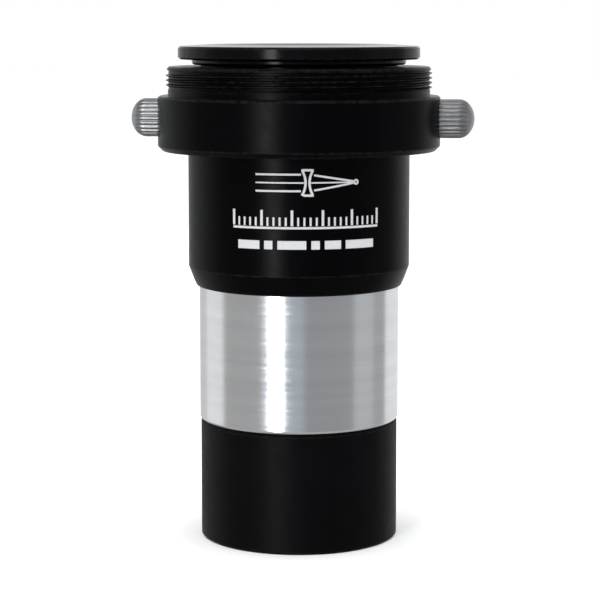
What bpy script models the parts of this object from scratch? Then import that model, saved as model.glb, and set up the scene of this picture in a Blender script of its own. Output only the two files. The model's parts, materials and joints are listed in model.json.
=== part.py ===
"""A 2x Barlow lens with a 1.25 inch nosepiece and an M42 x 0.75 camera thread round its socket.

The optical axis is Z with the eyepiece end up. The origin is on it at the bottom face of the lens
cell, and the two thumbscrews lie along X. Sizes are in millimetres until a mesh is made in metres.
"""

import math

import bmesh
import bpy

MM = 0.001
WELD = 1e-7
SHARP_ANGLE = math.radians(30)
SEGMENTS = 48
SMALL_SEGMENTS = 24
CUTTER_OVERSHOOT = 1.0

# Gap between pieces that touch, screw together or slide in each other
GAP = 0.3
CHAMFER = 0.3

# Faces that a mating part rests on are dished by this inside the radius where it bears
DISH = 0.05

# Heights of the joints between the pieces
CELL_JOINT = 18.9
SLEEVE_JOINT = 40.4
COLLAR_BOTTOM = 61.75
COLLAR_TOP = 70.35
RELIEF_TOP = 71.35
HOLDER_TOP = 74.95

# Nosepiece: a 1.25 inch push fit, with the standard filter thread of about 28.5 mm in its lower end
NOSE_R = 31.75 / 2
NOSE_BORE_R = 14.0
NOSE_SPIGOT_R = 15.2
NOSE_SPIGOT_TOP = 45.5
FILTER_THREAD_R = 14.25
FILTER_THREAD_LENGTH = 5.0

# Main barrel. Its lower face stops the nosepiece in a focuser, outside the sleeve.
BARREL_R = 17.55
BARREL_LIP_R = 16.3
FOCUSER_STOP_R = 15.95
BARREL_LIP_HEIGHT = 0.75
BARREL_TAPER_LOW_R = 16.72
BARREL_TAPER_TOP = 43.5
BARREL_STOP_R = 13.6
BARREL_STOP_TOP = 46.7
BARREL_SPIGOT_R = 16.8
BARREL_SPIGOT_TOP = 63.6

# Eyepiece holder: a 1.25 inch socket, the collar and the M42 thread. A camera ring rests on the
# collar outside the thread, and a wide eyepiece rests on the top face, outside the cap's flange.
SOCKET_R = 15.95
COLLAR_R = 22.33
COLLAR_LOW_CHAMFER = 0.75
CAMERA_SHOULDER_R = 21.15
EYEPIECE_SHOULDER_R = 19.3
RELIEF_R = 20.7
CAMERA_THREAD_R = 42.0 / 2
CAMERA_THREAD_PITCH = 0.75
CAMERA_THREAD_DEPTH = 0.41
CAMERA_THREAD_CRESTS = 4
THREAD_CREST_SHARE = 1 / 8
THREAD_ROOT_SHARE = 1 / 4
CAMERA_LAND_R = 20.82
CAMERA_LAND_HEIGHT = 0.58

# Clamp ring, in a groove of the holder
CLAMP_INNER_R = 16.0
CLAMP_OUTER_R = 16.9
CLAMP_WIDTH = 3.6
CLAMP_SLIT = 1.5

# Thumbscrews: M3 studs with fluted knobs, each knob's inner end in a counterbore of the collar. The
# flutes' places are shares of their spacing, from one crest to the next.
# Distances along them are from the optical axis with the screw fully in, as the left one is.
SCREW_HEIGHT = 66.8
RIGHT_SCREW_OUT = 0.9
STUD_R = 1.5
STUD_INTO_KNOB = 2.6
KNOB_R = 3.05
KNOB_ROOT_R = 2.82
KNOB_FLUTES = 24
FLUTE_START = 0.4
FLUTE_FLOOR = (0.6, 0.8)
KNOB_START = 21.05
KNOB_TIP = 26.82
KNOB_DOME_HEIGHT = 2.4
KNOB_DOME_RINGS = 6

# Dust cap
CAP_TOP = 78.15
CAP_FLANGE_R = 19.12
CAP_FLANGE_BOTTOM = 76.1
CAP_NECK_R = 16.93
CAP_PLUG_R = 15.6
CAP_PLUG_BOTTOM = 66.0
CAP_CUP_R = 14.2
CAP_CUP_TOP = 76.3
CAP_RECESS_R = 15.0
CAP_RECESS_FLOOR = 77.35

# Lens cell and its glass
CELL_R = 15.7
CELL_SPIGOT_TOP = 23.6
CELL_UPPER_BORE_R = 12.6
CELL_POCKET_R = 13.0
CELL_SEAT_R = 11.8
CELL_SEAT_THICKNESS = 1.0
LENS_R = 12.7
LENS_RINGS = 4
FRONT_SURFACE_RADIUS = 110.0
CEMENTED_SURFACE_RADIUS = 40.0
REAR_SURFACE_RADIUS = 70.0
FRONT_ELEMENT_THICKNESS = 3.0
REAR_ELEMENT_THICKNESS = 1.5
RETAINER_BOTTOM = 5.35
RETAINER_HEIGHT = 1.8
RETAINER_INNER_R = 11.3
RETAINER_SLOT_WIDTH = 1.2
RETAINER_SLOT_DEPTH = 0.7
SPACER_HEIGHT = 0.5
SPACER_INNER_R = 11.8

# Baffle ring, screwed into the sleeve
BAFFLE_BOTTOM = 30.0
BAFFLE_HEIGHT = 1.6
BAFFLE_INNER_R = 11.2


def material(name, colour, roughness, metallic):
    made = bpy.data.materials.new(name)
    made.use_nodes = True
    shader = made.node_tree.nodes["Principled BSDF"]
    shader.inputs["Base Color"].default_value = (*colour, 1.0)
    shader.inputs["Roughness"].default_value = roughness
    shader.inputs["Metallic"].default_value = metallic
    return made


def black_anodised():
    return material("black_anodised", (0.012, 0.012, 0.013), 0.38, 0.6)


def bright_metal():
    return material("bright_metal", (0.72, 0.71, 0.72), 0.28, 1.0)


def satin_nickel():
    return material("satin_nickel", (0.42, 0.42, 0.43), 0.4, 1.0)


def matt_black():
    return material("matt_black", (0.01, 0.01, 0.01), 0.85, 0.0)


def steel():
    return material("steel", (0.5, 0.5, 0.5), 0.35, 1.0)


def brass():
    return material("brass", (0.72, 0.5, 0.22), 0.3, 1.0)


def cap_plastic():
    return material("cap_plastic", (0.01, 0.01, 0.011), 0.12, 0.0)


def coated_glass():
    made = material("coated_glass", (0.85, 0.93, 0.9), 0.02, 0.0)
    made.node_tree.nodes["Principled BSDF"].inputs["Transmission Weight"].default_value = 1.0
    return made


def finished(name, bm, finish):
    """Makes the named object from a bmesh, shaded smooth with its real edges sharp."""
    bmesh.ops.remove_doubles(bm, verts=bm.verts, dist=WELD)
    bmesh.ops.recalc_face_normals(bm, faces=bm.faces)
    mesh = bpy.data.meshes.new(name)
    bm.to_mesh(mesh)
    bm.free()
    mesh.shade_smooth()
    mesh.set_sharp_from_angle(angle=SHARP_ANGLE)
    made = bpy.data.objects.new(name, mesh)
    if finish is not None:
        mesh.materials.append(finish)
    bpy.context.scene.collection.objects.link(made)
    return made


def turned(name, outline, finish, segments=SEGMENTS):
    """A solid of revolution about Z from an outline of (radius, height) points. An outline that
    starts and ends on the axis is closed by it, and any other is closed by its last edge."""
    bm = bmesh.new()
    points = [bm.verts.new((radius * MM, 0.0, height * MM)) for radius, height in outline]
    on_axis = outline[0][0] == 0 and outline[-1][0] == 0
    ends = points[1:] if on_axis else points[1:] + points[:1]
    edges = [bm.edges.new(pair) for pair in zip(points, ends)]
    bmesh.ops.spin(
        bm,
        geom=points + edges,
        cent=(0, 0, 0),
        axis=(0, 0, 1),
        angle=math.tau,
        steps=segments,
        use_merge=True,
    )
    return finished(name, bm, finish)


def block(name, size, centre):
    """A box cutter of the given size, centred at the given point."""
    bm = bmesh.new()
    bmesh.ops.create_cube(bm, size=1.0)
    bmesh.ops.scale(bm, vec=[s * MM for s in size], verts=bm.verts)
    bmesh.ops.translate(bm, vec=[c * MM for c in centre], verts=bm.verts)
    return finished(name, bm, None)


def cut(piece, cutter):
    """Cuts a piece by another object, which is then only a guide."""
    cutter.hide_render = True
    cutter.display_type = "WIRE"
    boolean = piece.modifiers.new(cutter.name, "BOOLEAN")
    boolean.operation = "DIFFERENCE"
    boolean.solver = "EXACT"
    boolean.object = cutter


def place_on_screw_axis(piece, side, out=0.0):
    """Turns a piece built along Z to point along X (side 1) or -X (side -1) at the screws' height,
    and moves it outwards."""
    piece.location = (side * out * MM, 0, SCREW_HEIGHT * MM)
    piece.rotation_euler = (0, side * math.pi / 2, 0)


def screw_out(side):
    """How far a thumbscrew is unscrewed."""
    return RIGHT_SCREW_OUT if side > 0 else 0.0


def sag(surface_radius, radius):
    """How far a spherical surface has dropped at a distance from its middle."""
    return surface_radius - math.sqrt(surface_radius**2 - radius**2)


def camera_thread():
    """The M42 thread's outline, drawn as rings, from its lowest crest to its highest."""
    root = CAMERA_THREAD_R - CAMERA_THREAD_DEPTH
    crest_half = CAMERA_THREAD_PITCH * THREAD_CREST_SHARE / 2
    root_half = CAMERA_THREAD_PITCH * THREAD_ROOT_SHARE / 2
    points = []
    for i in range(CAMERA_THREAD_CRESTS):
        start = RELIEF_TOP + i * CAMERA_THREAD_PITCH
        middle = start + CAMERA_THREAD_PITCH / 2
        points += [
            (root, start + root_half),
            (CAMERA_THREAD_R, middle - crest_half),
            (CAMERA_THREAD_R, middle + crest_half),
            (root, start + CAMERA_THREAD_PITCH - root_half),
        ]
    return points


def screw_hole(side):
    """The cutter for a stud's hole and the counterbore round its knob."""
    wide_r = KNOB_R + GAP
    floor = KNOB_START - GAP
    outside = COLLAR_R + CUTTER_OVERSHOOT
    outline = [
        (0, CLAMP_INNER_R),
        (STUD_R + GAP, CLAMP_INNER_R),
        (STUD_R + GAP, floor),
        (wide_r, floor),
        (wide_r, outside),
        (0, outside),
    ]
    name = "right_screw_hole" if side > 0 else "left_screw_hole"
    hole = turned(name, outline, None, SMALL_SEGMENTS)
    place_on_screw_axis(hole, side)
    return hole


def eyepiece_holder(finish):
    groove_half = CLAMP_WIDTH / 2 + GAP
    spigot_hole_r = BARREL_SPIGOT_R + GAP
    land_bottom = HOLDER_TOP - CAMERA_LAND_HEIGHT
    outline = [
        (spigot_hole_r, COLLAR_BOTTOM),
        (COLLAR_R - COLLAR_LOW_CHAMFER, COLLAR_BOTTOM),
        (COLLAR_R, COLLAR_BOTTOM + COLLAR_LOW_CHAMFER),
        (COLLAR_R, COLLAR_TOP - CHAMFER),
        (COLLAR_R - CHAMFER, COLLAR_TOP),
        (CAMERA_SHOULDER_R, COLLAR_TOP),
        (RELIEF_R, COLLAR_TOP - DISH),
        (RELIEF_R, RELIEF_TOP),
        *camera_thread(),
        (CAMERA_LAND_R, land_bottom),
        (CAMERA_LAND_R, HOLDER_TOP - CHAMFER),
        (CAMERA_LAND_R - CHAMFER, HOLDER_TOP),
        (EYEPIECE_SHOULDER_R, HOLDER_TOP),
        (SOCKET_R, HOLDER_TOP - DISH),
        (SOCKET_R, SCREW_HEIGHT + groove_half),
        (CLAMP_OUTER_R + GAP, SCREW_HEIGHT + groove_half),
        (CLAMP_OUTER_R + GAP, SCREW_HEIGHT - groove_half),
        (SOCKET_R, SCREW_HEIGHT - groove_half),
        (SOCKET_R, BARREL_SPIGOT_TOP + GAP),
        (spigot_hole_r, BARREL_SPIGOT_TOP + GAP),
    ]
    holder = turned("eyepiece_holder", outline, finish)
    for side in (1, -1):
        cut(holder, screw_hole(side))


def clamp_ring(finish):
    low = SCREW_HEIGHT - CLAMP_WIDTH / 2
    high = SCREW_HEIGHT + CLAMP_WIDTH / 2
    outline = [(CLAMP_INNER_R, low), (CLAMP_OUTER_R, low), (CLAMP_OUTER_R, high), (CLAMP_INNER_R, high)]
    ring = turned("brass_clamp_ring", outline, finish)
    slit = block(
        "clamp_ring_slit",
        (CLAMP_SLIT, CLAMP_OUTER_R, 2 * CLAMP_WIDTH),
        (0, CLAMP_OUTER_R, SCREW_HEIGHT),
    )
    cut(ring, slit)


def main_barrel(finish):
    bottom = SLEEVE_JOINT + GAP / 2
    shoulder = COLLAR_BOTTOM - GAP
    outline = [
        (NOSE_SPIGOT_R + GAP, bottom + DISH),
        (FOCUSER_STOP_R, bottom),
        (BARREL_LIP_R, bottom),
        (BARREL_TAPER_LOW_R, bottom + BARREL_LIP_HEIGHT),
        (BARREL_R, BARREL_TAPER_TOP),
        (BARREL_R, shoulder),
        (BARREL_SPIGOT_R, shoulder),
        (BARREL_SPIGOT_R, BARREL_SPIGOT_TOP),
        (SOCKET_R, BARREL_SPIGOT_TOP),
        (SOCKET_R, BARREL_STOP_TOP),
        (BARREL_STOP_R, BARREL_STOP_TOP),
        (BARREL_STOP_R, NOSE_SPIGOT_TOP + GAP),
        (NOSE_SPIGOT_R + GAP, NOSE_SPIGOT_TOP + GAP),
    ]
    turned("main_barrel", outline, finish)


def nosepiece_sleeve(finish):
    bottom = CELL_JOINT + GAP / 2
    shoulder = SLEEVE_JOINT - GAP / 2
    thread_top = CELL_JOINT + FILTER_THREAD_LENGTH
    outline = [
        (FILTER_THREAD_R, bottom),
        (NOSE_R - CHAMFER, bottom),
        (NOSE_R, bottom + CHAMFER),
        (NOSE_R, shoulder),
        (NOSE_SPIGOT_R, shoulder),
        (NOSE_SPIGOT_R, NOSE_SPIGOT_TOP),
        (NOSE_BORE_R, NOSE_SPIGOT_TOP),
        (NOSE_BORE_R, thread_top),
        (FILTER_THREAD_R, thread_top),
    ]
    turned("nosepiece_sleeve", outline, finish)


def baffle_ring(finish):
    """A sharp-edged stop, so that no wide inner wall shines into the eyepiece."""
    outer = NOSE_BORE_R - GAP
    outline = [
        (BAFFLE_INNER_R, BAFFLE_BOTTOM + BAFFLE_HEIGHT - CHAMFER),
        (outer, BAFFLE_BOTTOM),
        (outer, BAFFLE_BOTTOM + BAFFLE_HEIGHT),
        (BAFFLE_INNER_R, BAFFLE_BOTTOM + BAFFLE_HEIGHT),
    ]
    turned("baffle_ring", outline, finish)


def stud(side, finish):
    start = CLAMP_OUTER_R + GAP
    end = KNOB_START + STUD_INTO_KNOB
    outline = [
        (0, start),
        (STUD_R - CHAMFER, start),
        (STUD_R, start + CHAMFER),
        (STUD_R, end),
        (0, end),
    ]
    name = "right_thumbscrew_stud" if side > 0 else "left_thumbscrew_stud"
    place_on_screw_axis(turned(name, outline, finish, SMALL_SEGMENTS), side, screw_out(side))


def knob_envelope():
    """The knob's (height, radius) stations without its flutes, up to just before its tip. Its dome
    is half an ellipse."""
    dome_start = KNOB_TIP - KNOB_DOME_HEIGHT
    stations = [(KNOB_START, KNOB_ROOT_R), (KNOB_START + CHAMFER, KNOB_R)]
    for i in range(KNOB_DOME_RINGS):
        angle = math.pi / 2 * i / KNOB_DOME_RINGS
        stations.append((dome_start + KNOB_DOME_HEIGHT * math.sin(angle), KNOB_R * math.cos(angle)))
    return stations


def fluted_ring(bm, height, radius):
    """One ring of the knob: each flute has two corners on the crest and two at the root."""
    floor_start, floor_end = FLUTE_FLOOR
    corners = (
        (0, KNOB_R),
        (FLUTE_START, KNOB_R),
        (floor_start, KNOB_ROOT_R),
        (floor_end, KNOB_ROOT_R),
    )
    ring = []
    for i in range(KNOB_FLUTES):
        for share, fluted in corners:
            angle = math.tau * (i + share) / KNOB_FLUTES
            reach = min(radius, fluted) * MM
            ring.append(bm.verts.new((reach * math.cos(angle), reach * math.sin(angle), height * MM)))
    return ring


def knob(side, finish):
    bm = bmesh.new()
    rings = [fluted_ring(bm, height, radius) for height, radius in knob_envelope()]
    for lower, upper in zip(rings, rings[1:]):
        for i, corner in enumerate(lower):
            following = (i + 1) % len(lower)
            bm.faces.new((corner, lower[following], upper[following], upper[i]))
    bm.faces.new(rings[0])
    tip = bm.verts.new((0, 0, KNOB_TIP * MM))
    last = rings[-1]
    for i, corner in enumerate(last):
        bm.faces.new((corner, last[(i + 1) % len(last)], tip))
    name = "right_thumbscrew_knob" if side > 0 else "left_thumbscrew_knob"
    made = finished(name, bm, finish)
    place_on_screw_axis(made, side, screw_out(side))

    hole_r = STUD_R + GAP
    hole_start = KNOB_START - CUTTER_OVERSHOOT
    hole_end = KNOB_START + STUD_INTO_KNOB + GAP
    outline = [(0, hole_start), (hole_r, hole_start), (hole_r, hole_end), (0, hole_end)]
    hole = turned(name + "_hole", outline, None, SMALL_SEGMENTS)
    place_on_screw_axis(hole, side, screw_out(side))
    cut(made, hole)


def dust_cap(finish):
    neck_bottom = HOLDER_TOP + GAP
    outline = [
        (0, CAP_RECESS_FLOOR),
        (CAP_RECESS_R, CAP_RECESS_FLOOR),
        (CAP_RECESS_R, CAP_TOP),
        (CAP_FLANGE_R - CHAMFER, CAP_TOP),
        (CAP_FLANGE_R, CAP_TOP - CHAMFER),
        (CAP_FLANGE_R, CAP_FLANGE_BOTTOM + CHAMFER),
        (CAP_FLANGE_R - CHAMFER, CAP_FLANGE_BOTTOM),
        (CAP_NECK_R, CAP_FLANGE_BOTTOM),
        (CAP_NECK_R, neck_bottom + CHAMFER),
        (CAP_NECK_R - CHAMFER, neck_bottom),
        (CAP_PLUG_R, neck_bottom),
        (CAP_PLUG_R, CAP_PLUG_BOTTOM + CHAMFER),
        (CAP_PLUG_R - CHAMFER, CAP_PLUG_BOTTOM),
        (CAP_CUP_R, CAP_PLUG_BOTTOM),
        (CAP_CUP_R, CAP_CUP_TOP),
        (0, CAP_CUP_TOP),
    ]
    turned("dust_cap", outline, finish)


def glass_heights():
    """Heights on the doublet: the middles of its three surfaces, from the front, and the rear edge."""
    edge = RETAINER_BOTTOM + RETAINER_HEIGHT + GAP + SPACER_HEIGHT + GAP
    front = edge + sag(FRONT_SURFACE_RADIUS, LENS_R)
    cemented = front + FRONT_ELEMENT_THICKNESS
    rear = cemented + GAP + REAR_ELEMENT_THICKNESS
    rear_edge = rear + sag(REAR_SURFACE_RADIUS, LENS_R)
    return front, cemented, rear, rear_edge


def lens_surface(middle, surface_radius):
    """A spherical surface's (radius, height) points from its middle out. A positive radius drops."""
    points = []
    for i in range(LENS_RINGS + 1):
        radius = LENS_R * i / LENS_RINGS
        drop = math.copysign(sag(abs(surface_radius), radius), surface_radius)
        points.append((radius, middle - drop))
    return points


def front_lens_element(finish):
    front, cemented, _, _ = glass_heights()
    outline = lens_surface(front, FRONT_SURFACE_RADIUS)
    outline += reversed(lens_surface(cemented, CEMENTED_SURFACE_RADIUS))
    turned("front_lens_element", outline, finish)


def rear_lens_element(finish):
    _, cemented, rear, _ = glass_heights()
    outline = lens_surface(cemented + GAP, CEMENTED_SURFACE_RADIUS)
    outline += reversed(lens_surface(rear, -REAR_SURFACE_RADIUS))
    turned("rear_lens_element", outline, finish)


def lens_cell(finish):
    top = CELL_JOINT - GAP / 2
    seat = glass_heights()[3] + GAP
    seat_top = seat + CELL_SEAT_THICKNESS
    spigot_r = FILTER_THREAD_R - GAP
    outline = [
        (FILTER_THREAD_R + CHAMFER, 0),
        (CELL_R - CHAMFER, 0),
        (CELL_R, CHAMFER),
        (CELL_R, top - CHAMFER),
        (CELL_R - CHAMFER, top),
        (spigot_r, top),
        (spigot_r, CELL_SPIGOT_TOP),
        (CELL_UPPER_BORE_R, CELL_SPIGOT_TOP),
        (CELL_UPPER_BORE_R, seat_top),
        (CELL_SEAT_R, seat_top),
        (CELL_SEAT_R, seat),
        (CELL_POCKET_R, seat),
        (CELL_POCKET_R, FILTER_THREAD_LENGTH),
        (FILTER_THREAD_R, FILTER_THREAD_LENGTH),
        (FILTER_THREAD_R, CHAMFER),
    ]
    turned("lens_cell", outline, finish)


def retaining_ring(finish):
    top = RETAINER_BOTTOM + RETAINER_HEIGHT
    outline = [
        (RETAINER_INNER_R, RETAINER_BOTTOM),
        (LENS_R, RETAINER_BOTTOM),
        (LENS_R, top),
        (RETAINER_INNER_R, top),
    ]
    ring = turned("retaining_ring", outline, finish)
    slots = block(
        "spanner_slots",
        (2 * CELL_R, RETAINER_SLOT_WIDTH, 2 * RETAINER_SLOT_DEPTH),
        (0, 0, RETAINER_BOTTOM),
    )
    cut(ring, slots)


def lens_spacer_ring(finish):
    low = RETAINER_BOTTOM + RETAINER_HEIGHT + GAP
    high = low + SPACER_HEIGHT
    outline = [(SPACER_INNER_R, low), (LENS_R, low), (LENS_R, high), (SPACER_INNER_R, high)]
    turned("lens_spacer_ring", outline, finish)


def main():
    for old in list(bpy.data.objects):
        bpy.data.objects.remove(old)
    black = black_anodised()
    matt = matt_black()
    nickel = satin_nickel()
    screw_steel = steel()
    glass = coated_glass()
    eyepiece_holder(black)
    clamp_ring(brass())
    for side in (1, -1):
        stud(side, screw_steel)
        knob(side, nickel)
    dust_cap(cap_plastic())
    main_barrel(black)
    nosepiece_sleeve(bright_metal())
    baffle_ring(matt)
    lens_cell(matt)
    front_lens_element(glass)
    rear_lens_element(glass)
    lens_spacer_ring(matt)
    retaining_ring(matt)


main()
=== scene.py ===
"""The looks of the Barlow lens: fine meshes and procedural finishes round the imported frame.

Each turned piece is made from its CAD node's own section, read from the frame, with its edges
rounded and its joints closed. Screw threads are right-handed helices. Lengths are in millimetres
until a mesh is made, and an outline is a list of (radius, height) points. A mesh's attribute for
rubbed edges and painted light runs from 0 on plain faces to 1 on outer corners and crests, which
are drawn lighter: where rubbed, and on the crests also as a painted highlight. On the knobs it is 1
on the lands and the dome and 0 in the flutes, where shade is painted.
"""

import json
import math

import bmesh
import bpy
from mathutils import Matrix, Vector


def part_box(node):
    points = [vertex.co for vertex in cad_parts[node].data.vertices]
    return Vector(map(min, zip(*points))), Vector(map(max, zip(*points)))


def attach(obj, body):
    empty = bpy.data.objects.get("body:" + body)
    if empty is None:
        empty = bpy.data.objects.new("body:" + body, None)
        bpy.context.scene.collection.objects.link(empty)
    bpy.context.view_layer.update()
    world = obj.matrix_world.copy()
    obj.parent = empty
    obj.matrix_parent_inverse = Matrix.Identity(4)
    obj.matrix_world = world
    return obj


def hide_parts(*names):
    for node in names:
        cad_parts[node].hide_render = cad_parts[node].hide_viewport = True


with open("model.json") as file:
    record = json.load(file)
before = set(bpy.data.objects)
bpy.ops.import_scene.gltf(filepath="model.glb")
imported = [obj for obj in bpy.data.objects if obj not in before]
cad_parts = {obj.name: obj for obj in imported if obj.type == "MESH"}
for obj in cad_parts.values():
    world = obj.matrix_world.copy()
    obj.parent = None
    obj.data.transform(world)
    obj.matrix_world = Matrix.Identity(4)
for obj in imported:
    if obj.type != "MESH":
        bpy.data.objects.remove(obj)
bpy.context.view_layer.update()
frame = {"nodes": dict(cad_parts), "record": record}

MM = 0.001
WELD = 1e-7
TOUCH = 0.002
SEGMENTS = 192
SMALL_SEGMENTS = 64
SHARP = math.radians(40)

# Rounded edges. A corner that turns less than this stays as it is, a rounding takes at most this
# share of the stretch on either side of it, and a point holds the straight stretch beyond it.
SMALLEST_TURN = math.radians(12)
ROUND_STEPS = 4
ROUND_SHARE = 0.4
HOLD = 0.12

# Each piece's rounding radius
CAP_EDGE = 0.16
HOLDER_EDGE = 0.2
CLAMP_EDGE = 0.15
BARREL_EDGE = 0.3
SLEEVE_EDGE = 0.1
CELL_EDGE = 0.12
THIN_RING_EDGE = 0.06
RETAINER_EDGE = 0.1
STUD_EDGE = 0.05

# The gaps where pieces meet: in the CAD, here within one body, and here between the cell and the
# barrel that parts from it
CAD_GAP = 0.3
TIGHT = 0.02
PARTING = 0.05

# A thread's shape over one pitch, as (share of the pitch, share of the depth), and the share of a
# pitch over which its ends fade out
THREAD_SHAPE = ((0.0, 0.0), (0.3, 0.0), (0.54, 0.9), (0.57, 1.0), (0.73, 1.0), (0.76, 0.9))
RUN_OUT = 0.15

# The threads
CAMERA_THREAD_R = 21.0
CAMERA_THREAD_ROOT = 20.59
CAMERA_THREAD_PITCH = 0.75
CAMERA_THREAD_START = 0.81
CELL_THREAD_PITCH = 0.6
CELL_THREAD_DEPTH = 0.32
SPIGOT_R = 13.95
FILTER_R = 14.25
STUD_THREAD_PITCH = 0.5
STUD_THREAD_DEPTH = 0.27
STUD_TIP = 0.4

# The knobs and what they screw into
KNOB_FLUTES = 24
FLUTE_SAMPLES = 12
FLUTE_POWER = 1.5
FLUTE_DEPTH = 0.2
FLUTE_FADE = 0.8
FADE_POWER = 0.5
KNOB_BACK_CHAMFER = 0.25
KNOB_DOME = 2.4
KNOB_DOME_STEPS = 16
KNOB_BORE_GAP = 0.05
STUD_IN_KNOB = 2.6
COUNTERBORE_R = 3.35
COUNTERBORE_FLOOR = 20.75
STUD_HOLE_GAP = 0.05
CUTTER_OVERSHOOT = 1.0

# The rings, the lens elements and the cap
CLAMP_SLIT = 1.5
RETAINER_SLOT_WIDTH = 1.2
RETAINER_SLOT_DEPTH = 0.7
LENS_RINGS = 24
CAP_CREST = 0.25
CAP_DISH = 6.0

# The finishes: how much lighter the dye gets, how much of the grain is blasting and not tool lines,
# and how much painted shade darkens the flutes
DYE_VARIES = 1.5
BLAST_SHARE = 0.55
FLUTE_SHADE = 0.45

# The printed marks are plain shapes. Their places are (round, height): how far round the barrel
# from its print line, and how high.
PRINT_AZIMUTH = math.radians(10.2)
INK_PROUD = 0.02
INK_DEEP = 0.03
INK_STEP = 0.4
INK_WIDTH = 0.3

MARK_HEIGHT = 57.85
AXIS_WIDTH = 0.22
MARK_LEFT = -8.0
MARK_RIGHT = 7.3
LENS_WIDTH = 0.36
LENS_HALF = 0.55
LENS_FACE_R = 3.6
LENS_FACE_REACH = 3.9
LENS_FACE_LEAN = 32
RAY_GAP = 1.0
RAY_IN_HEIGHT = 1.25
RAY_OUT_HEIGHT = 1.15
RAY_END_HEIGHT = 0.12
FOCUS_ROUND = 7.75
FOCUS_R = 0.3
FOCUS_STEPS = 16

SCALE_HEIGHT = 51.0
SCALE_HALF = 11.9
SCALE_LINE_WIDTH = 0.34
SCALE_TICKS = 26
FIRST_TICK = -11.75
TICK_RUN = 23.5
TICK_FOOT = 0.3
TICK_TALL = 1.6
LONG_TICK_EVERY = 5
LONG_TICK_TALL = 2.7
LONG_TICK_WIDTH = 0.4

BAR_HEIGHT = 48.4
BAR_WIDTH = 1.3
FIRST_BAR = -11.0
BAR_LENGTHS = (3.6, 1.3, 4.4, 1.3, 2.6, 5.0)
BAR_SPACE = 0.76

# The camera
CAMERA_AZIMUTH = math.radians(6)
CAMERA_DISTANCE = 326.6
CAMERA_HEIGHT = 82.0
CAMERA_PITCH = math.radians(6.554)
CAMERA_LENS = 123.57
CAMERA_SHIFT = (0.0017, -0.07)
CAMERA_CLIP = 0.01

# The studio: how bright and how blue it is at each angle in degrees, round to the right from the
# camera's side
BRIGHTEST = 11.5
STUDIO_RING = (
    (-180, 1.0, 0.0), (-169, 1.0, 0.0), (-164, 0.6, 0.03), (-137, 0.6, 0.03), (-131, 0.79, 0.02),
    (-100, 0.79, 0.02), (-94, 0.38, 0.01), (-45, 0.38, 0.02), (-41, 0.6, 0.08), (-34, 0.6, 0.08),
    (-30, 8.0, 0.01), (-22.5, BRIGHTEST, 0.01), (-20.5, 0.47, 0.1), (4, 0.43, 0.1), (8, 0.3, 0.04),
    (64, 0.32, 0.04), (68, 0.49, 0.04), (93, 0.49, 0.04), (97, 0.38, 0.03), (116, 0.38, 0.03),
    (120, 0.8, 0.02), (164, 0.8, 0.02), (169, 1.0, 0.0), (180, 1.0, 0.0),
)
# Above and below the ring are plain walls, dim behind the object, where the threads' flanks look.
# Overhead is a top. Each blends in over a span of degrees: the walls up and down from the ring, the
# dim part round from the camera, and the top upwards.
STUDIO_SIDE = 0.42
STUDIO_DIM = 0.05
STUDIO_TOP = 1.1
WALLS_BLEND = (26, 42)
DIM_BLEND = (130, 150)
TOP_BLEND = (62, 76)

OVERHEAD_POWER = 5.5
OVERHEAD_SIZE = 0.9
WASH_POWER = 1.5
WASH_ANGLE = math.radians(120)
LAMP_HEIGHT = 0.9
FLOOR_SIZE = 6.0


# ---------------------------------------------------------------- outlines from the frame


def section(node):
    """A turned CAD node's outline in order, where it crosses the half-plane through -Y. A solid
    that reaches the axis starts and ends on it."""
    mesh = frame["nodes"][node].data
    spots = {}
    for vertex in mesh.vertices:
        x, y, z = vertex.co / MM
        if abs(x) < TOUCH and y < TOUCH:
            spots[vertex.index] = (round(abs(y), 3), round(z, 3))
    beside = {spot: set() for spot in spots.values()}
    for edge in mesh.edges:
        a, b = (spots.get(index) for index in edge.vertices)
        if a and b and a != b:
            beside[a].add(b)
            beside[b].add(a)
    ends = sorted(spot for spot in beside if len(beside[spot]) == 1)
    outline = [ends[0] if ends else min(beside)]
    before = None
    while True:
        here = outline[-1]
        onward = sorted(beside[here] - {before})
        if not onward or onward[0] == outline[0]:
            break
        before = here
        outline.append(onward[0])
    if ends:
        outline = [(0.0, outline[0][1]), *outline, (0.0, outline[-1][1])]
        outline = [p for i, p in enumerate(outline) if p != outline[i - 1]]
    return outline


def moved(outline, height, by):
    """The outline with its points at one height raised."""
    return [(r, z + by if abs(z - height) < TOUCH else z) for r, z in outline]


def on_axis(outline):
    return outline[0][0] == 0 and outline[-1][0] == 0


def area_sign(outline):
    """1 for an outline that runs anticlockwise, -1 for one that runs clockwise."""
    twice = sum(a[0] * b[1] - b[0] * a[1] for a, b in zip(outline, outline[1:] + outline[:1]))
    return math.copysign(1, twice)


def rounded(outline, radius):
    """The outline as (radius, height, worn) points, its corners rounded. A point is kept beside
    each rounding, so that the straight stretches shade straight."""
    sign = area_sign(outline)
    count = len(outline)
    made = []
    for i, spot in enumerate(outline):
        corner = Vector(spot)
        back = Vector(outline[i - 1]) - corner
        on = Vector(outline[(i + 1) % count]) - corner
        at_axis = on_axis(outline) and i in (0, count - 1)
        turn = 0 if at_axis or not back.length or not on.length else math.pi - back.angle(on)
        if turn < SMALLEST_TURN:
            made.append((*spot, 0.0))
            continue
        reach = min(radius * math.tan(turn / 2), ROUND_SHARE * back.length, ROUND_SHARE * on.length)
        start = corner + back.normalized() * reach
        end = corner + on.normalized() * reach
        rubbed_and_lit = 1.0 if on.cross(back) * sign > 0 else 0.0
        if reach + HOLD < back.length / 2:
            made.append((*(corner + back.normalized() * (reach + HOLD)), 0.0))
        for step in range(ROUND_STEPS + 1):
            t = step / ROUND_STEPS
            on_curve = start * (1 - t) ** 2 + corner * 2 * t * (1 - t) + end * t**2
            made.append((*on_curve, rubbed_and_lit))
        if reach + HOLD < on.length / 2:
            made.append((*(corner + on.normalized() * (reach + HOLD)), 0.0))
    return made


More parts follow.
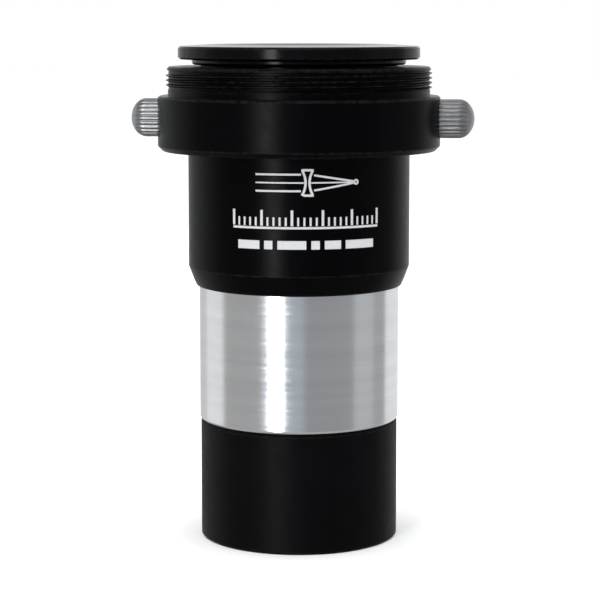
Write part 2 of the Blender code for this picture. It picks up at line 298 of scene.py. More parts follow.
def thread_rows(angle, low, high, root, crest, pitch, start):
    """The points of a helical thread at one angle, from low to high, fading out at both ends.
    Points past an end stay on it, so that each angle has as many."""
    rows = []
    for turn in range(math.ceil((high - low) / pitch) + 2):
        for share, depth in THREAD_SHAPE:
            height = low + pitch * (turn - 2 + share + start + angle / math.tau)
            height = min(max(height, low), high)
            fade = min(1.0, (height - low) / (RUN_OUT * pitch), (high - height) / (RUN_OUT * pitch))
            # The raised share also lightens the crest: rubbed, and partly a painted highlight.
            raised = depth * fade
            rows.append((root + (crest - root) * raised, height, raised))
    return rows


def threaded(rows, *threads):
    """The rows at each angle, with helical threads on them. Each thread is (root radius, crest
    radius, pitch, start), and runs along the longest straight stretch at its root radius."""
    cut_at = {}
    for thread in threads:
        stretches = [
            (abs(a[1] - b[1]), i)
            for i, (a, b) in enumerate(zip(rows, rows[1:]))
            if max(abs(a[0] - thread[0]), abs(b[0] - thread[0])) < TOUCH
        ]
        cut_at[max(stretches)[1]] = thread

    def rows_at(angle):
        made = []
        for i, row in enumerate(rows):
            made.append(row)
            if i in cut_at:
                low, high = sorted((row[1], rows[i + 1][1]))
                points = thread_rows(angle, low, high, *cut_at[i])
                made += points if row[1] == low else points[::-1]
        return made

    return rows_at


# ---------------------------------------------------------------- meshes


def finished(name, bm, finish):
    """An object from a bmesh, which is freed, with smooth faces and sharp corners."""
    bmesh.ops.remove_doubles(bm, verts=bm.verts, dist=WELD)
    bmesh.ops.recalc_face_normals(bm, faces=bm.faces)
    mesh = bpy.data.meshes.new(name)
    bm.to_mesh(mesh)
    bm.free()
    mesh.shade_smooth()
    mesh.set_sharp_from_angle(angle=SHARP)
    piece = bpy.data.objects.new(name, mesh)
    if finish is not None:
        mesh.materials.append(finish)
    bpy.context.scene.collection.objects.link(piece)
    return piece


def swept(name, rows_at, closed, finish, segments=SEGMENTS, slit=0.0):
    """A piece swept about Z. rows_at(angle) gives its (radius, height, worn) points. A slit, in
    radians, is left open at +Y."""
    bm = bmesh.new()
    # Per vertex: rubbed corners and crests (the crests partly a painted highlight), and the knobs'
    # flute-shade mask.
    rubbed_and_lit_layer = bm.verts.layers.float.new("rubbed_and_lit")
    grid = []
    for i in range(segments + 1):
        angle = math.pi / 2 + slit / 2 + (math.tau - slit) * i / segments
        column = []
        for radius, height, rubbed_and_lit in rows_at(angle - math.pi / 2):
            where = Vector((radius * math.cos(angle), radius * math.sin(angle), height)) * MM
            vert = bm.verts.new(where)
            vert[rubbed_and_lit_layer] = rubbed_and_lit
            column.append(vert)
        grid.append(column)
    last = len(grid[0]) if closed else len(grid[0]) - 1
    for left, right in zip(grid, grid[1:]):
        for i in range(last):
            j = (i + 1) % len(left)
            bm.faces.new((left[i], right[i], right[j], left[j]))
    if slit:
        bm.faces.new(grid[0])
        bm.faces.new(grid[-1])
    return finished(name, bm, finish)


def turned(name, outline, finish, radius, segments=SEGMENTS, slit=0.0):
    """A turned piece from its outline, with rounded corners."""
    rows = rounded(outline, radius)
    return swept(name, lambda angle: rows, not on_axis(outline), finish, segments, slit)


def block(size, centre):
    """A box to cut with."""
    bm = bmesh.new()
    bmesh.ops.create_cube(bm, size=1.0)
    bmesh.ops.scale(bm, vec=[s * MM for s in size], verts=bm.verts)
    bmesh.ops.translate(bm, vec=[c * MM for c in centre], verts=bm.verts)
    return finished("cutter", bm, None)


def cut(piece, cutter):
    """Cuts a piece by another object, and removes that."""
    boolean = piece.modifiers.new("cut", "BOOLEAN")
    boolean.operation = "DIFFERENCE"
    boolean.solver = "EXACT"
    boolean.object = cutter
    bpy.context.view_layer.update()
    evaluated = piece.evaluated_get(bpy.context.evaluated_depsgraph_get())
    mesh = bpy.data.meshes.new_from_object(evaluated)
    piece.modifiers.clear()
    piece.data = mesh
    mesh.set_sharp_from_angle(angle=SHARP)
    bpy.data.objects.remove(cutter)


def body_of(node):
    bodies = frame["record"]["behaviour"]["bodies"]
    return next(body for body, nodes in bodies.items() if node in nodes)


def stands_for(piece, node):
    """The piece rides on a CAD node's body and hides that node."""
    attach(piece, body_of(node))
    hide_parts(node)
    return piece


def laid_along_screw(piece, node):
    """Turns a piece built along Z to point out along its screw, from where the CAD node starts."""
    low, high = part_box(node)
    side = math.copysign(1, low.x + high.x)
    start = low.x if side > 0 else high.x
    piece.location = (start, 0, (low.z + high.z) / 2)
    piece.rotation_euler = (0, side * math.pi / 2, 0)
    return piece


# ---------------------------------------------------------------- shader nodes


def put(tree, kind, inputs=(), **settings):
    """Adds a node. Inputs are (socket, value or another node's output) pairs."""
    made = tree.nodes.new(kind)
    for key, value in settings.items():
        setattr(made, key, value)
    for socket, value in inputs:
        if isinstance(value, bpy.types.NodeSocket):
            tree.links.new(value, made.inputs[socket])
        else:
            made.inputs[socket].default_value = value
    return made


def grain(tree, where, scale, detail=3.0, distortion=0.0):
    """Noise from 0 to 1."""
    inputs = (("Vector", where), ("Scale", scale), ("Detail", detail), ("Distortion", distortion))
    return put(tree, "ShaderNodeTexNoise", inputs).outputs["Fac"]


def spread(tree, value, low, high, from_low=0.3, from_high=0.7):
    """Maps a range of a value, by default noise's usual one, to low..high."""
    inputs = ((0, value), (1, from_low), (2, from_high), (3, low), (4, high))
    return put(tree, "ShaderNodeMapRange", inputs).outputs[0]


def mixed(tree, share, a, b):
    """A colour between two, by share."""
    made = put(tree, "ShaderNodeMix", ((0, share), (6, a), (7, b)), data_type="RGBA")
    return made.outputs[2]


def patchy(tree, noise, a, b):
    """A colour that wanders between two with noise."""
    return mixed(tree, spread(tree, noise, 0.0, 1.0), opaque(a), opaque(b))


def opaque(colour):
    return (*colour, 1)


def grey(level):
    return (level, level, level, 1)


def multiplied(tree, a, b):
    return put(tree, "ShaderNodeMath", ((0, a), (1, b)), operation="MULTIPLY").outputs[0]


def object_place(tree):
    """Object coordinates in millimetres, which stay with the piece when it moves."""
    place = put(tree, "ShaderNodeTexCoord").outputs["Object"]
    scaled = put(tree, "ShaderNodeVectorMath", ((0, place), ("Scale", 1 / MM)), operation="SCALE")
    return scaled.outputs["Vector"]


def tool_lines(tree, place, per_mm, drift, detail=3.0, distortion=0.0):
    """Noise in fine lines round the axis: fast along the tool's path in radius and height, and
    drifting slowly across the piece."""
    sideways = ((0, place), (1, (1, 1, 0)))
    flat = put(tree, "ShaderNodeVectorMath", sideways, operation="MULTIPLY").outputs[0]
    reach = put(tree, "ShaderNodeVectorMath", ((0, flat),), operation="LENGTH")
    height = put(tree, "ShaderNodeSeparateXYZ", ((0, place),)).outputs["Z"]
    path = put(tree, "ShaderNodeMath", ((0, height), (1, reach.outputs["Value"])), operation="ADD")
    fast = multiplied(tree, path.outputs[0], per_mm)
    slow = put(tree, "ShaderNodeVectorMath", ((0, flat), ("Scale", drift)), operation="SCALE")
    parts = put(tree, "ShaderNodeSeparateXYZ", ((0, slow.outputs["Vector"]),))
    joined = ((0, parts.outputs["X"]), (1, parts.outputs["Y"]), (2, fast))
    where = put(tree, "ShaderNodeCombineXYZ", joined).outputs[0]
    return grain(tree, where, 1.0, detail, distortion)


def bump(tree, height, strength, distance):
    """A bumped normal, its distance in millimetres."""
    inputs = (("Height", height), ("Strength", strength), ("Distance", distance * MM))
    return put(tree, "ShaderNodeBump", inputs).outputs["Normal"]


def new_material(name, **sockets):
    """A Principled material with its constant values on the shader's own sockets."""
    made = bpy.data.materials.new(name)
    made.use_nodes = True
    shader = made.node_tree.nodes["Principled BSDF"]
    for socket, value in sockets.items():
        shader.inputs[socket.replace("_", " ")].default_value = value
    return made, made.node_tree, shader


def wired(tree, shader, **sockets):
    """Links nodes' outputs to the shader's sockets."""
    for socket, output in sockets.items():
        tree.links.new(output, shader.inputs[socket.replace("_", " ")])


def rubbed_and_lit_attribute(tree):
    # Rubbed corners and crests, the crests partly a painted highlight; on the knobs, 0 where shade
    # is painted in the flutes.
    return put(tree, "ShaderNodeAttribute", attribute_name="rubbed_and_lit").outputs["Fac"]


def rubbed_and_glint_share(tree, place, strength):
    """How much an edge or crest is drawn lighter, where rubbed and on crests as a painted
    highlight: its attribute for that, broken up by noise.
    """
    noise = grain(tree, place, scale=1.1, detail=4.0)
    patches = spread(tree, noise, 0.0, strength, from_low=0.35, from_high=0.75)
    return multiplied(tree, rubbed_and_lit_attribute(tree), patches)


def dark_metal(name, colour, rubbed_and_glint_colour, roughness, grain_strength, specular):
    """Black anodised aluminium: a dye that varies slightly, fine tool lines, and edges and thread
    crests drawn lighter, where rubbed and, on the crests, as a painted highlight."""
    made, tree, shader = new_material(name, Specular_IOR_Level=specular)
    place = object_place(tree)
    lines = tool_lines(tree, place, per_mm=3.2, drift=0.05)
    blast = grain(tree, place, scale=9.0, detail=2.0)
    both = put(tree, "ShaderNodeMix", ((0, BLAST_SHARE), (2, lines), (3, blast))).outputs[0]
    clouds = grain(tree, place, scale=0.22)
    dye = patchy(tree, clouds, colour, [DYE_VARIES * channel for channel in colour])
    # Painted highlight: the thread crests are lightened along with the rubbed edges.
    rubbed_and_glint = rubbed_and_glint_share(tree, place, strength=0.35)
    wired(
        tree,
        shader,
        Base_Color=mixed(tree, rubbed_and_glint, dye, opaque(rubbed_and_glint_colour)),
        Roughness=spread(tree, grain(tree, place, scale=0.6, detail=4.0), *roughness),
        Normal=bump(tree, both, grain_strength, distance=0.02),
    )
    return made


def black_anodised():
    return dark_metal(
        "black_anodised",
        colour=(0.0006, 0.0006, 0.0009),
        rubbed_and_glint_colour=(0.03, 0.03, 0.032),
        roughness=(0.26, 0.33),
        grain_strength=0.05,
        specular=0.055,
    )


def matt_black():
    return dark_metal(
        "matt_black",
        colour=(0.0014, 0.0014, 0.0018),
        rubbed_and_glint_colour=(0.03, 0.03, 0.03),
        roughness=(0.42, 0.5),
        grain_strength=0.16,
        specular=0.06,
    )


def bright_metal():
    """Turned bright metal: the tool's lines stretch reflections along the axis."""
    made, tree, shader = new_material("bright_metal", Metallic=1.0, Anisotropic=0.65)
    place = object_place(tree)
    lines = tool_lines(tree, place, per_mm=4.5, drift=0.03, detail=4.0)
    bands = tool_lines(tree, place, per_mm=0.6, drift=0.02, detail=2.0)
    tint = patchy(tree, bands, (0.83, 0.825, 0.83), (0.9, 0.895, 0.895))
    clouds = grain(tree, place, scale=0.35, detail=4.0, distortion=0.4)
    haze = spread(tree, clouds, 0.0, 0.12, from_low=0.5, from_high=0.8)
    wired(
        tree,
        shader,
        Base_Color=mixed(tree, haze, tint, opaque((0.7, 0.69, 0.68))),
        Roughness=spread(tree, lines, 0.1, 0.19),
        Normal=bump(tree, lines, strength=0.12, distance=0.006),
        Tangent=put(tree, "ShaderNodeTangent", direction_type="RADIAL", axis="Z").outputs[0],
    )
    return made


def satin_nickel():
    """The knobs' plating: satin, with painted shade darkening the flutes, and the lands where
    fingers rub left brighter.
    """
    made, tree, shader = new_material("satin_nickel", Metallic=1.0)
    place = object_place(tree)
    stain = grain(tree, place, scale=0.9, detail=4.0)
    plate = patchy(tree, stain, (0.35, 0.35, 0.36), (0.43, 0.43, 0.43))
    # Painted shade: the flutes' plate is mixed towards dark grey.
    shaded_plate = mixed(tree, FLUTE_SHADE, plate, grey(0.1))
    specks = grain(tree, place, scale=14.0, detail=2.0)
    wired(
        tree,
        shader,
        Base_Color=mixed(tree, rubbed_and_lit_attribute(tree), shaded_plate, plate),
        Roughness=spread(tree, specks, 0.33, 0.42),
        Normal=bump(tree, specks, strength=0.05, distance=0.004),
    )
    return made


def plain_metal(name, light, dark, roughness):
    """Machined metal with tool lines, for the studs and the clamp ring."""
    made, tree, shader = new_material(name, Metallic=1.0)
    place = object_place(tree)
    lines = tool_lines(tree, place, per_mm=6.0, drift=0.05)
    stain = grain(tree, place, scale=0.7, detail=4.0)
    wired(
        tree,
        shader,
        Base_Color=patchy(tree, stain, light, dark),
        Roughness=spread(tree, lines, *roughness),
        Normal=bump(tree, lines, strength=0.2, distance=0.01),
    )
    return made


def cap_plastic():
    """Gloss black moulding: a faint flow ripple, hairline scuffs in its gloss, and fine dust."""
    made, tree, shader = new_material("cap_plastic", Specular_IOR_Level=0.11)
    place = object_place(tree)
    flow = grain(tree, place, scale=0.12, detail=2.0)
    tone = patchy(tree, flow, (0.0012, 0.0012, 0.0016), (0.0018, 0.0018, 0.0021))
    rubbed = mixed(tree, rubbed_and_glint_share(tree, place, strength=0.2), tone, grey(0.03))
    specks = grain(tree, place, scale=4.0, detail=6.0)
    dust = spread(tree, specks, 0.0, 0.35, from_low=0.68, from_high=0.8)
    scuffs = tool_lines(tree, place, per_mm=1.6, drift=0.5, detail=5.0, distortion=1.5)
    ripple = grain(tree, place, scale=0.35, detail=2.0)
    wired(
        tree,
        shader,
        Base_Color=mixed(tree, dust, rubbed, grey(0.04)),
        Roughness=spread(tree, scuffs, 0.1, 0.19),
        Normal=bump(tree, ripple, strength=0.1, distance=0.01),
    )
    return made


def coated_glass():
    """Polished glass with a thin anti-reflection coat, and a trace of dust in its roughness."""
    made, tree, shader = new_material(
        "coated_glass",
        Transmission_Weight=1.0,
        IOR=1.62,
        Thin_Film_Thickness=420.0,
        Thin_Film_IOR=1.38,
    )
    place = object_place(tree)
    coat = grain(tree, place, scale=0.1)
    dust = grain(tree, place, scale=2.2, detail=5.0)
    wired(
        tree,
        shader,
        Base_Color=patchy(tree, coat, (0.96, 0.99, 0.97), (0.98, 0.98, 1)),
        Roughness=spread(tree, dust, 0.0, 0.04, from_low=0.6, from_high=0.9),
    )
    return made


def white_ink():
    """Pad-printed ink, slightly uneven where it lies thin."""
    made, tree, shader = new_material("white_ink", Specular_IOR_Level=0.3)
    place = object_place(tree)
    patches = grain(tree, place, scale=3.5, detail=5.0)
    thin = spread(tree, patches, 0.0, 0.3, from_low=0.55, from_high=0.8)
    wired(
        tree,
        shader,
        Base_Color=mixed(tree, thin, opaque((0.58, 0.58, 0.59)), grey(0.36)),
        Roughness=spread(tree, grain(tree, place, scale=6.0), 0.4, 0.6),
    )
    return made


# ---------------------------------------------------------------- pieces


def dust_cap(finish):
    """The cap, its top dished from a low crest: down to its floor, and slightly down to its rim."""
    node = "dust_cap"
    outline = section(node)
    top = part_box(node)[1].z / MM
    crest = min(r for r, z in outline if abs(z - top) < TOUCH)
    dished = []
    for r, z in outline:
        if abs(r - crest) < TOUCH and abs(z - top) < TOUCH:
            z += CAP_CREST
        elif abs(r - crest) < TOUCH:
            r -= CAP_DISH
        dished.append((r, z))
    return stands_for(turned("moulded_dust_cap", dished, finish, CAP_EDGE), node)


def eyepiece_holder(finish):
    """The collar, the M42 thread and the socket, with a counterbore for each knob and a hole for
    each stud, in to the clamp ring's groove. A helix takes the place of the CAD's thread rings."""
    node = "eyepiece_holder"
    outline = section(node)
    ring_radii = (CAMERA_THREAD_ROOT, CAMERA_THREAD_R)
    on_rings = [min(abs(r - ring_r) for ring_r in ring_radii) < TOUCH for r, z in outline]
    first = on_rings.index(True)
    past = len(outline) - on_rings[::-1].index(True)
    straight = [(CAMERA_THREAD_ROOT, z) for z in (outline[first - 1][1], outline[past][1])]
    rows = rounded(outline[:first] + straight + outline[past:], HOLDER_EDGE)
    thread = (CAMERA_THREAD_ROOT, CAMERA_THREAD_R, CAMERA_THREAD_PITCH, CAMERA_THREAD_START)
    holder = swept("turned_eyepiece_holder", threaded(rows, thread), True, finish)
    screw_low, screw_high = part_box("right_thumbscrew_stud")
    hole_r = (screw_high.z - screw_low.z) / 2 / MM + STUD_HOLE_GAP
    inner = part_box("brass_clamp_ring")[1].x / MM - COUNTERBORE_FLOOR
    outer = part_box(node)[1].x / MM - COUNTERBORE_FLOOR + CUTTER_OVERSHOOT
    hole = [(0, inner), (hole_r, inner), (hole_r, 0)]
    bore = [*hole, (COUNTERBORE_R, 0), (COUNTERBORE_R, outer), (0, outer)]
    for side in (1, -1):
        cutter = turned("cutter", bore, None, 0.0, SMALL_SEGMENTS)
        cutter.location = (side * COUNTERBORE_FLOOR * MM, 0, (screw_low.z + screw_high.z) / 2)
        cutter.rotation_euler = (0, side * math.pi / 2, 0)
        cut(holder, cutter)
    return stands_for(holder, node)


def brass_clamp_ring(finish):
    node = "brass_clamp_ring"
    slit = CLAMP_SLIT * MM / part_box(node)[1].x
    ring = turned("slit_clamp_ring", section(node), finish, CLAMP_EDGE, slit=slit)
    return stands_for(ring, node)


def main_barrel(finish):
    """The barrel meets the holder above it and the sleeve below it."""
    node = "main_barrel"
    outline = moved(section(node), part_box(node)[0].z / MM, (TIGHT - CAD_GAP) / 2)
    outline = moved(outline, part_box("eyepiece_holder")[0].z / MM - CAD_GAP, CAD_GAP - TIGHT)
    barrel = turned("turned_main_barrel", outline, finish, BARREL_EDGE)
    return stands_for(barrel, node)


def nosepiece_sleeve(finish):
    """The sleeve meets the barrel above it, and parts from the cell below it."""
    node = "nosepiece_sleeve"
    outline = moved(section(node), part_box(node)[0].z / MM, (PARTING - CAD_GAP) / 2)
    outline = moved(outline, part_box("main_barrel")[0].z / MM - CAD_GAP, (CAD_GAP - TIGHT) / 2)
    sleeve = turned("bright_nosepiece_sleeve", outline, finish, SLEEVE_EDGE)
    return stands_for(sleeve, node)


def lens_cell(finish):
    """The cell, with a thread on its spigot and the filter thread in its mouth."""
    node = "lens_cell"
    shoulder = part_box("nosepiece_sleeve")[0].z / MM - CAD_GAP
    outline = moved(section(node), shoulder, (CAD_GAP - PARTING) / 2)
    root = SPIGOT_R - CELL_THREAD_DEPTH
    outline = [(root if abs(r - SPIGOT_R) < TOUCH else r, z) for r, z in outline]
    spigot = (root, SPIGOT_R, CELL_THREAD_PITCH, 0.0)
    filter_thread = (FILTER_R, FILTER_R - CELL_THREAD_DEPTH, CELL_THREAD_PITCH, 0.0)
    rows_at = threaded(rounded(outline, CELL_EDGE), spigot, filter_thread)
    return stands_for(swept("turned_lens_cell", rows_at, True, finish), node)


def plain_rings(finish):
    """The baffle, the spacer and the retaining ring with its two slots."""
    thin = {"baffle_ring": "pressed_baffle_ring", "lens_spacer_ring": "thin_spacer_ring"}
    for node, name in thin.items():
        stands_for(turned(name, section(node), finish, THIN_RING_EDGE), node)
    node = "retaining_ring"
    ring = turned("slotted_retaining_ring", section(node), finish, RETAINER_EDGE)
    low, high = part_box(node)
    across = (high.x - low.x) / MM + CUTTER_OVERSHOOT
    size = (across, RETAINER_SLOT_WIDTH, 2 * RETAINER_SLOT_DEPTH)
    cut(ring, block(size, (0, 0, low.z / MM)))
    stands_for(ring, node)


def lens_element(node, name, finish):
    """A lens with true spherical faces through its node's axis and edge heights."""
    outline = section(node)
    edge_r = max(r for r, z in outline)
    edges = [z for r, z in outline if r == edge_r]
    faces = []
    for pole, edge in ((outline[0][1], edges[0]), (outline[-1][1], edges[-1])):
        rise = edge - pole
        ball = (edge_r**2 + rise**2) / (2 * rise)
        face = []
        for i in range(LENS_RINGS + 1):
            r = edge_r * i / LENS_RINGS
            face.append((r, pole + ball - math.copysign(math.sqrt(ball**2 - r**2), ball)))
        faces.append(face)
    rows = [(r, z, 0.0) for r, z in faces[0] + faces[1][::-1]]
    lens = swept(name, lambda angle: rows, False, finish)
    return stands_for(lens, node)


def stud(side, finish):
    """A threaded stud with a cone tip, along its screw."""
    node = f"{side}_thumbscrew_stud"
    low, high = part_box(node)
    length = (high.x - low.x) / MM
    crest = (high.z - low.z) / 2 / MM
    root = crest - STUD_THREAD_DEPTH
    outline = [(0, 0), (root - STUD_TIP, 0), (root, STUD_TIP), (root, length), (0, length)]
    rows_at = threaded(rounded(outline, STUD_EDGE), (root, crest, STUD_THREAD_PITCH, 0.0))
    made = swept(f"{side}_threaded_stud", rows_at, False, finish, SMALL_SEGMENTS)
    return stands_for(laid_along_screw(made, node), node)


def flute_at(angle):
    """How deep the knob's fluting is at an angle, from 0 on a land to 1 in a groove."""
    return ((1 - math.cos(angle * KNOB_FLUTES)) / 2) ** FLUTE_POWER


def knob(side, finish):
    """A thumbscrew's knob: a fluted grip with a domed end, bored for its stud."""
    node = f"{side}_thumbscrew_knob"
    low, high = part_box(node)
    length = (high.x - low.x) / MM
    grip_r = (high.z - low.z) / 2 / MM
    stud_low, stud_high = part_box(f"{side}_thumbscrew_stud")
    bore_r = (stud_high.z - stud_low.z) / 2 / MM + KNOB_BORE_GAP
    bore_end = STUD_IN_KNOB + KNOB_BORE_GAP
    back_r = grip_r - KNOB_BACK_CHAMFER
    bore = [(0.0, bore_end), (bore_r, bore_end), (bore_r, 0.0)]
    dome = []
    for i in range(KNOB_DOME_STEPS + 1):
        lean = math.pi / 2 * i / KNOB_DOME_STEPS
        dome.append((grip_r * math.cos(lean), length - KNOB_DOME + KNOB_DOME * math.sin(lean)))
    grip_heights = (KNOB_BACK_CHAMFER, KNOB_BACK_CHAMFER + HOLD, length - KNOB_DOME - HOLD)
    grip = [(grip_r, z) for z in grip_heights]

    def rows_at(angle):
        groove = flute_at(angle)
        rows = [(r, z, 0.0) for r, z in bore]
        rows.append((back_r - FLUTE_DEPTH * groove, 0.0, 1.0))
        for r, z in grip + dome:
            share = max(0.0, (r / grip_r - FLUTE_FADE) / (1 - FLUTE_FADE)) ** FADE_POWER
            # The last value is 1 on the lands and the dome and 0 in the flutes: the mask for the
            # painted flute shade.
            rows.append((r - FLUTE_DEPTH * groove * share, z, 1.0 - groove * share))
        return rows

    made = swept(f"{side}_fluted_knob", rows_at, False, finish, KNOB_FLUTES * FLUTE_SAMPLES)
    return stands_for(laid_along_screw(made, node), node)


# ---------------------------------------------------------------- printed marks


def ink_stroke(bm, radius, path, width):
    """A stroke of ink on the barrel along a path of (round, height) points, as a thin closed
    strip. A path that ends where it starts makes a loop."""
    fine = [path[0]]
    for start, end in zip(path, path[1:]):
        steps = max(1, math.ceil(math.dist(start, end) / INK_STEP))
        for i in range(1, steps + 1):
            t = i / steps
            fine.append((start[0] + (end[0] - start[0]) * t, start[1] + (end[1] - start[1]) * t))
    rings = []
    for i, (u, v) in enumerate(fine):
        a, b = fine[max(i - 1, 0)], fine[min(i + 1, len(fine) - 1)]
        along = Vector((b[0] - a[0], b[1] - a[1])).normalized()
        aside = Vector((-along.y, along.x)) * width / 2
        ring = []
        for side, reach in ((1, INK_PROUD), (-1, INK_PROUD), (-1, -INK_DEEP), (1, -INK_DEEP)):
            turn = PRINT_AZIMUTH + (u + side * aside.x) / radius
            out = radius + reach
            where = (out * math.sin(turn), -out * math.cos(turn), v + side * aside.y)
            ring.append(bm.verts.new(Vector(where) * MM))
        rings.append(ring)
    closed = path[0] == path[-1]
    if closed:
        bmesh.ops.delete(bm, geom=rings.pop(), context="VERTS")
    for i in range(len(rings) if closed else len(rings) - 1):
        here, there = rings[i], rings[(i + 1) % len(rings)]
        for j in range(4):
            bm.faces.new((here[j], here[(j + 1) % 4], there[(j + 1) % 4], there[j]))
    if not closed:
        bm.faces.new(rings[0])
        bm.faces.new(rings[-1])


def arc(centre, radius, start, end, steps=10):
    """Points on an arc, from one angle to another in degrees."""
    points = []
    for i in range(steps + 1):
        lean = math.radians(start + (end - start) * i / steps)
        points.append((centre[0] + radius * math.cos(lean), centre[1] + radius * math.sin(lean)))
    return points


def lens_diagram(bm, radius):
    """A hollow lens on its axis, and rays that pass through it and meet at a point."""
    mid = MARK_HEIGHT
    ink_stroke(bm, radius, [(MARK_LEFT, mid), (-LENS_HALF, mid)], AXIS_WIDTH)
    ink_stroke(bm, radius, [(LENS_HALF, mid), (MARK_RIGHT, mid)], AXIS_WIDTH)
    lean = LENS_FACE_LEAN
    left = arc((-LENS_FACE_REACH, mid), LENS_FACE_R, -lean, lean)
    right = arc((LENS_FACE_REACH, mid), LENS_FACE_R, 180 - lean, 180 + lean)
    ink_stroke(bm, radius, left + right + left[:1], LENS_WIDTH)
    for side in (1, -1):
        ray_in = [(u, mid + side * RAY_IN_HEIGHT) for u in (MARK_LEFT, -RAY_GAP)]
        rise, end = side * RAY_OUT_HEIGHT, side * RAY_END_HEIGHT
        ink_stroke(bm, radius, ray_in, INK_WIDTH)
        ink_stroke(bm, radius, [(RAY_GAP, mid + rise), (MARK_RIGHT, mid + end)], INK_WIDTH)
    ink_stroke(bm, radius, arc((FOCUS_ROUND, mid), FOCUS_R, 0, 360, FOCUS_STEPS), INK_WIDTH)


def plain_scale(bm, radius):
    """A graduated line without numbers."""
    line = [(-SCALE_HALF, SCALE_HEIGHT), (SCALE_HALF, SCALE_HEIGHT)]
    ink_stroke(bm, radius, line, SCALE_LINE_WIDTH)
    for i in range(SCALE_TICKS):
        u = FIRST_TICK + TICK_RUN * i / (SCALE_TICKS - 1)
        tall, width = TICK_TALL, INK_WIDTH
        if i % LONG_TICK_EVERY == 0:
            tall, width = LONG_TICK_TALL, LONG_TICK_WIDTH
        ink_stroke(bm, radius, [(u, SCALE_HEIGHT + TICK_FOOT), (u, SCALE_HEIGHT + tall)], width)


def row_of_bars(bm, radius):
    u = FIRST_BAR
    for length in BAR_LENGTHS:
        ink_stroke(bm, radius, [(u, BAR_HEIGHT), (u + length, BAR_HEIGHT)], BAR_WIDTH)
        u += length + BAR_SPACE


def printed_marks(finish):
    """A lens diagram, a plain graduated scale and a row of bars, where the real one is printed."""
    node = "main_barrel"
    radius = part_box(node)[1].x / MM
    bm = bmesh.new()
    lens_diagram(bm, radius)
    plain_scale(bm, radius)
    row_of_bars(bm, radius)
    marks = finished("printed_marks", bm, finish)
    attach(marks, body_of(node))
    return marks


# ---------------------------------------------------------------- studio


def height_at(angle):
    """How high a direction is, from 0 level to 1 straight up, at an angle in degrees."""
    return math.sin(math.radians(angle))


def studio_light():
    """A white backdrop to the camera, and a ring of soft panels to everything else."""
    world = bpy.data.worlds.new("studio")
    bpy.context.scene.world = world
    world.use_nodes = True
    tree = world.node_tree
    tree.nodes.clear()
    ray = put(tree, "ShaderNodeTexCoord").outputs["Generated"]
    sin, cos = math.sin(CAMERA_AZIMUTH), math.cos(CAMERA_AZIMUTH)
    sides = []
    for socket, toward in enumerate(((cos, sin, 0), (sin, -cos, 0))):
        inputs = ((0, ray), (1, toward))
        along = put(tree, "ShaderNodeVectorMath", inputs, operation="DOT_PRODUCT")
        sides.append((socket, along.outputs["Value"]))
    round_camera = put(tree, "ShaderNodeMath", sides, operation="ARCTAN2").outputs[0]
    place = spread(tree, round_camera, 0.0, 1.0, -math.pi, math.pi)
    ramp = put(tree, "ShaderNodeValToRGB", ((0, place),))
    stops = ramp.color_ramp.elements
    while len(stops) < len(STUDIO_RING):
        stops.new(0.5)
    for stop, (angle, bright, blue) in zip(stops, STUDIO_RING):
        level = bright / BRIGHTEST
        stop.position = (angle + 180) / 360
        stop.color = (level * (1 - blue), level, level * (1 + blue), 1)
    up = put(tree, "ShaderNodeSeparateXYZ", ((0, ray),)).outputs["Z"]
    slope = put(tree, "ShaderNodeMath", ((0, up),), operation="ABSOLUTE").outputs[0]
    steep = spread(tree, slope, 0.0, 1.0, *map(height_at, WALLS_BLEND))
    aside = put(tree, "ShaderNodeMath", ((0, place), (1, 0.5)), operation="SUBTRACT").outputs[0]
    turn = put(tree, "ShaderNodeMath", ((0, aside),), operation="ABSOLUTE").outputs[0]
    behind = spread(tree, turn, 0.0, 1.0, *(a / 360 for a in DIM_BLEND))
    wall = mixed(tree, behind, grey(STUDIO_SIDE / BRIGHTEST), grey(STUDIO_DIM / BRIGHTEST))
    walls = mixed(tree, steep, ramp.outputs[0], wall)
    overhead = spread(tree, up, 0.0, 1.0, *map(height_at, TOP_BLEND))
    room = mixed(tree, overhead, walls, grey(STUDIO_TOP / BRIGHTEST))
    lit = put(tree, "ShaderNodeBackground", (("Color", room), ("Strength", BRIGHTEST)))
    white = put(tree, "ShaderNodeBackground", (("Color", (1, 1, 1, 1)), ("Strength", 1.0)))
    seen = put(tree, "ShaderNodeLightPath").outputs["Is Camera Ray"]
    shaders = ((0, seen), (1, lit.outputs[0]), (2, white.outputs[0]))
    both = put(tree, "ShaderNodeMixShader", shaders)
    put(tree, "ShaderNodeOutputWorld", ((0, both.outputs[0]),))


def soft_light(name, kind, energy, **settings):
    """A soft light overhead, which lights the floor and the print but isn't seen in the gloss."""
    data = bpy.data.lights.new(name, kind)
    data.energy = energy
    for key, value in settings.items():
        setattr(data, key, value)
    lamp = bpy.data.objects.new(name, data)
    lamp.location = (0, 0, LAMP_HEIGHT)
    lamp.visible_camera = False
    lamp.visible_glossy = False
    bpy.context.scene.collection.objects.link(lamp)


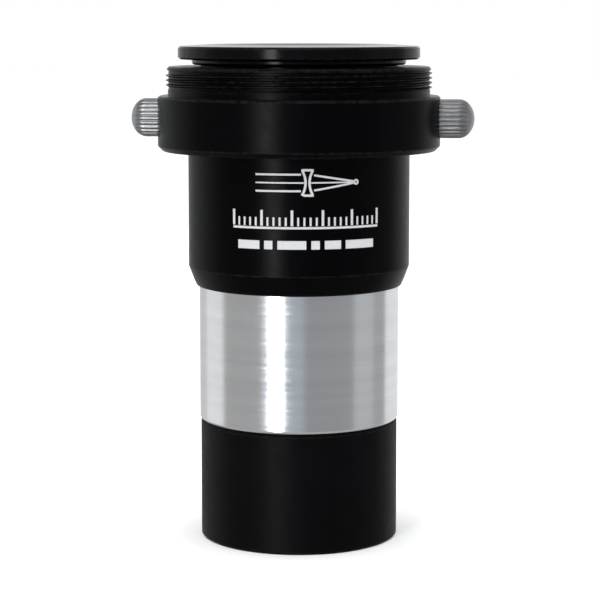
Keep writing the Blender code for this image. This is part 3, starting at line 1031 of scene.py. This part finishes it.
def floor():
    """Plain white paper, slightly uneven."""
    bm = bmesh.new()
    bmesh.ops.create_grid(bm, x_segments=1, y_segments=1, size=FLOOR_SIZE / 2)
    paper, tree, shader = new_material("white_paper", Roughness=0.9, Specular_IOR_Level=0.0)
    place = object_place(tree)
    clouds = grain(tree, place, scale=0.02)
    wired(tree, shader, Base_Color=patchy(tree, clouds, (0.93, 0.93, 0.93), (0.94, 0.94, 0.94)))
    ground = finished("floor", bm, paper)
    ground.visible_glossy = False


def camera():
    data = bpy.data.cameras.new("camera")
    data.lens = CAMERA_LENS
    data.shift_x, data.shift_y = CAMERA_SHIFT
    data.clip_start = CAMERA_CLIP
    made = bpy.data.objects.new("camera", data)
    away = Vector((math.sin(CAMERA_AZIMUTH), -math.cos(CAMERA_AZIMUTH), 0)) * CAMERA_DISTANCE
    made.location = (away + Vector((0, 0, CAMERA_HEIGHT))) * MM
    made.rotation_euler = (math.pi / 2 - CAMERA_PITCH, 0, CAMERA_AZIMUTH)
    bpy.context.scene.collection.objects.link(made)
    bpy.context.scene.camera = made


bpy.context.scene.view_settings.view_transform = "Standard"
camera()
studio_light()
soft_light("overhead", "AREA", OVERHEAD_POWER, shape="DISK", size=OVERHEAD_SIZE)
soft_light("wash", "SUN", WASH_POWER, angle=WASH_ANGLE)
floor()

black = black_anodised()
matt = matt_black()
nickel = satin_nickel()
steel = plain_metal("steel", (0.56, 0.56, 0.57), (0.44, 0.44, 0.45), roughness=(0.22, 0.36))
brass = plain_metal("brass", (0.78, 0.56, 0.26), (0.66, 0.46, 0.2), roughness=(0.2, 0.34))
glass = coated_glass()

dust_cap(cap_plastic())
eyepiece_holder(black)
brass_clamp_ring(brass)
main_barrel(black)
nosepiece_sleeve(bright_metal())
lens_cell(matt)
plain_rings(matt)
lens_element("front_lens_element", "front_ground_lens", glass)
lens_element("rear_lens_element", "rear_ground_lens", glass)
for hand in ("left", "right"):
    stud(hand, steel)
    knob(hand, nickel)
printed_marks(white_ink())
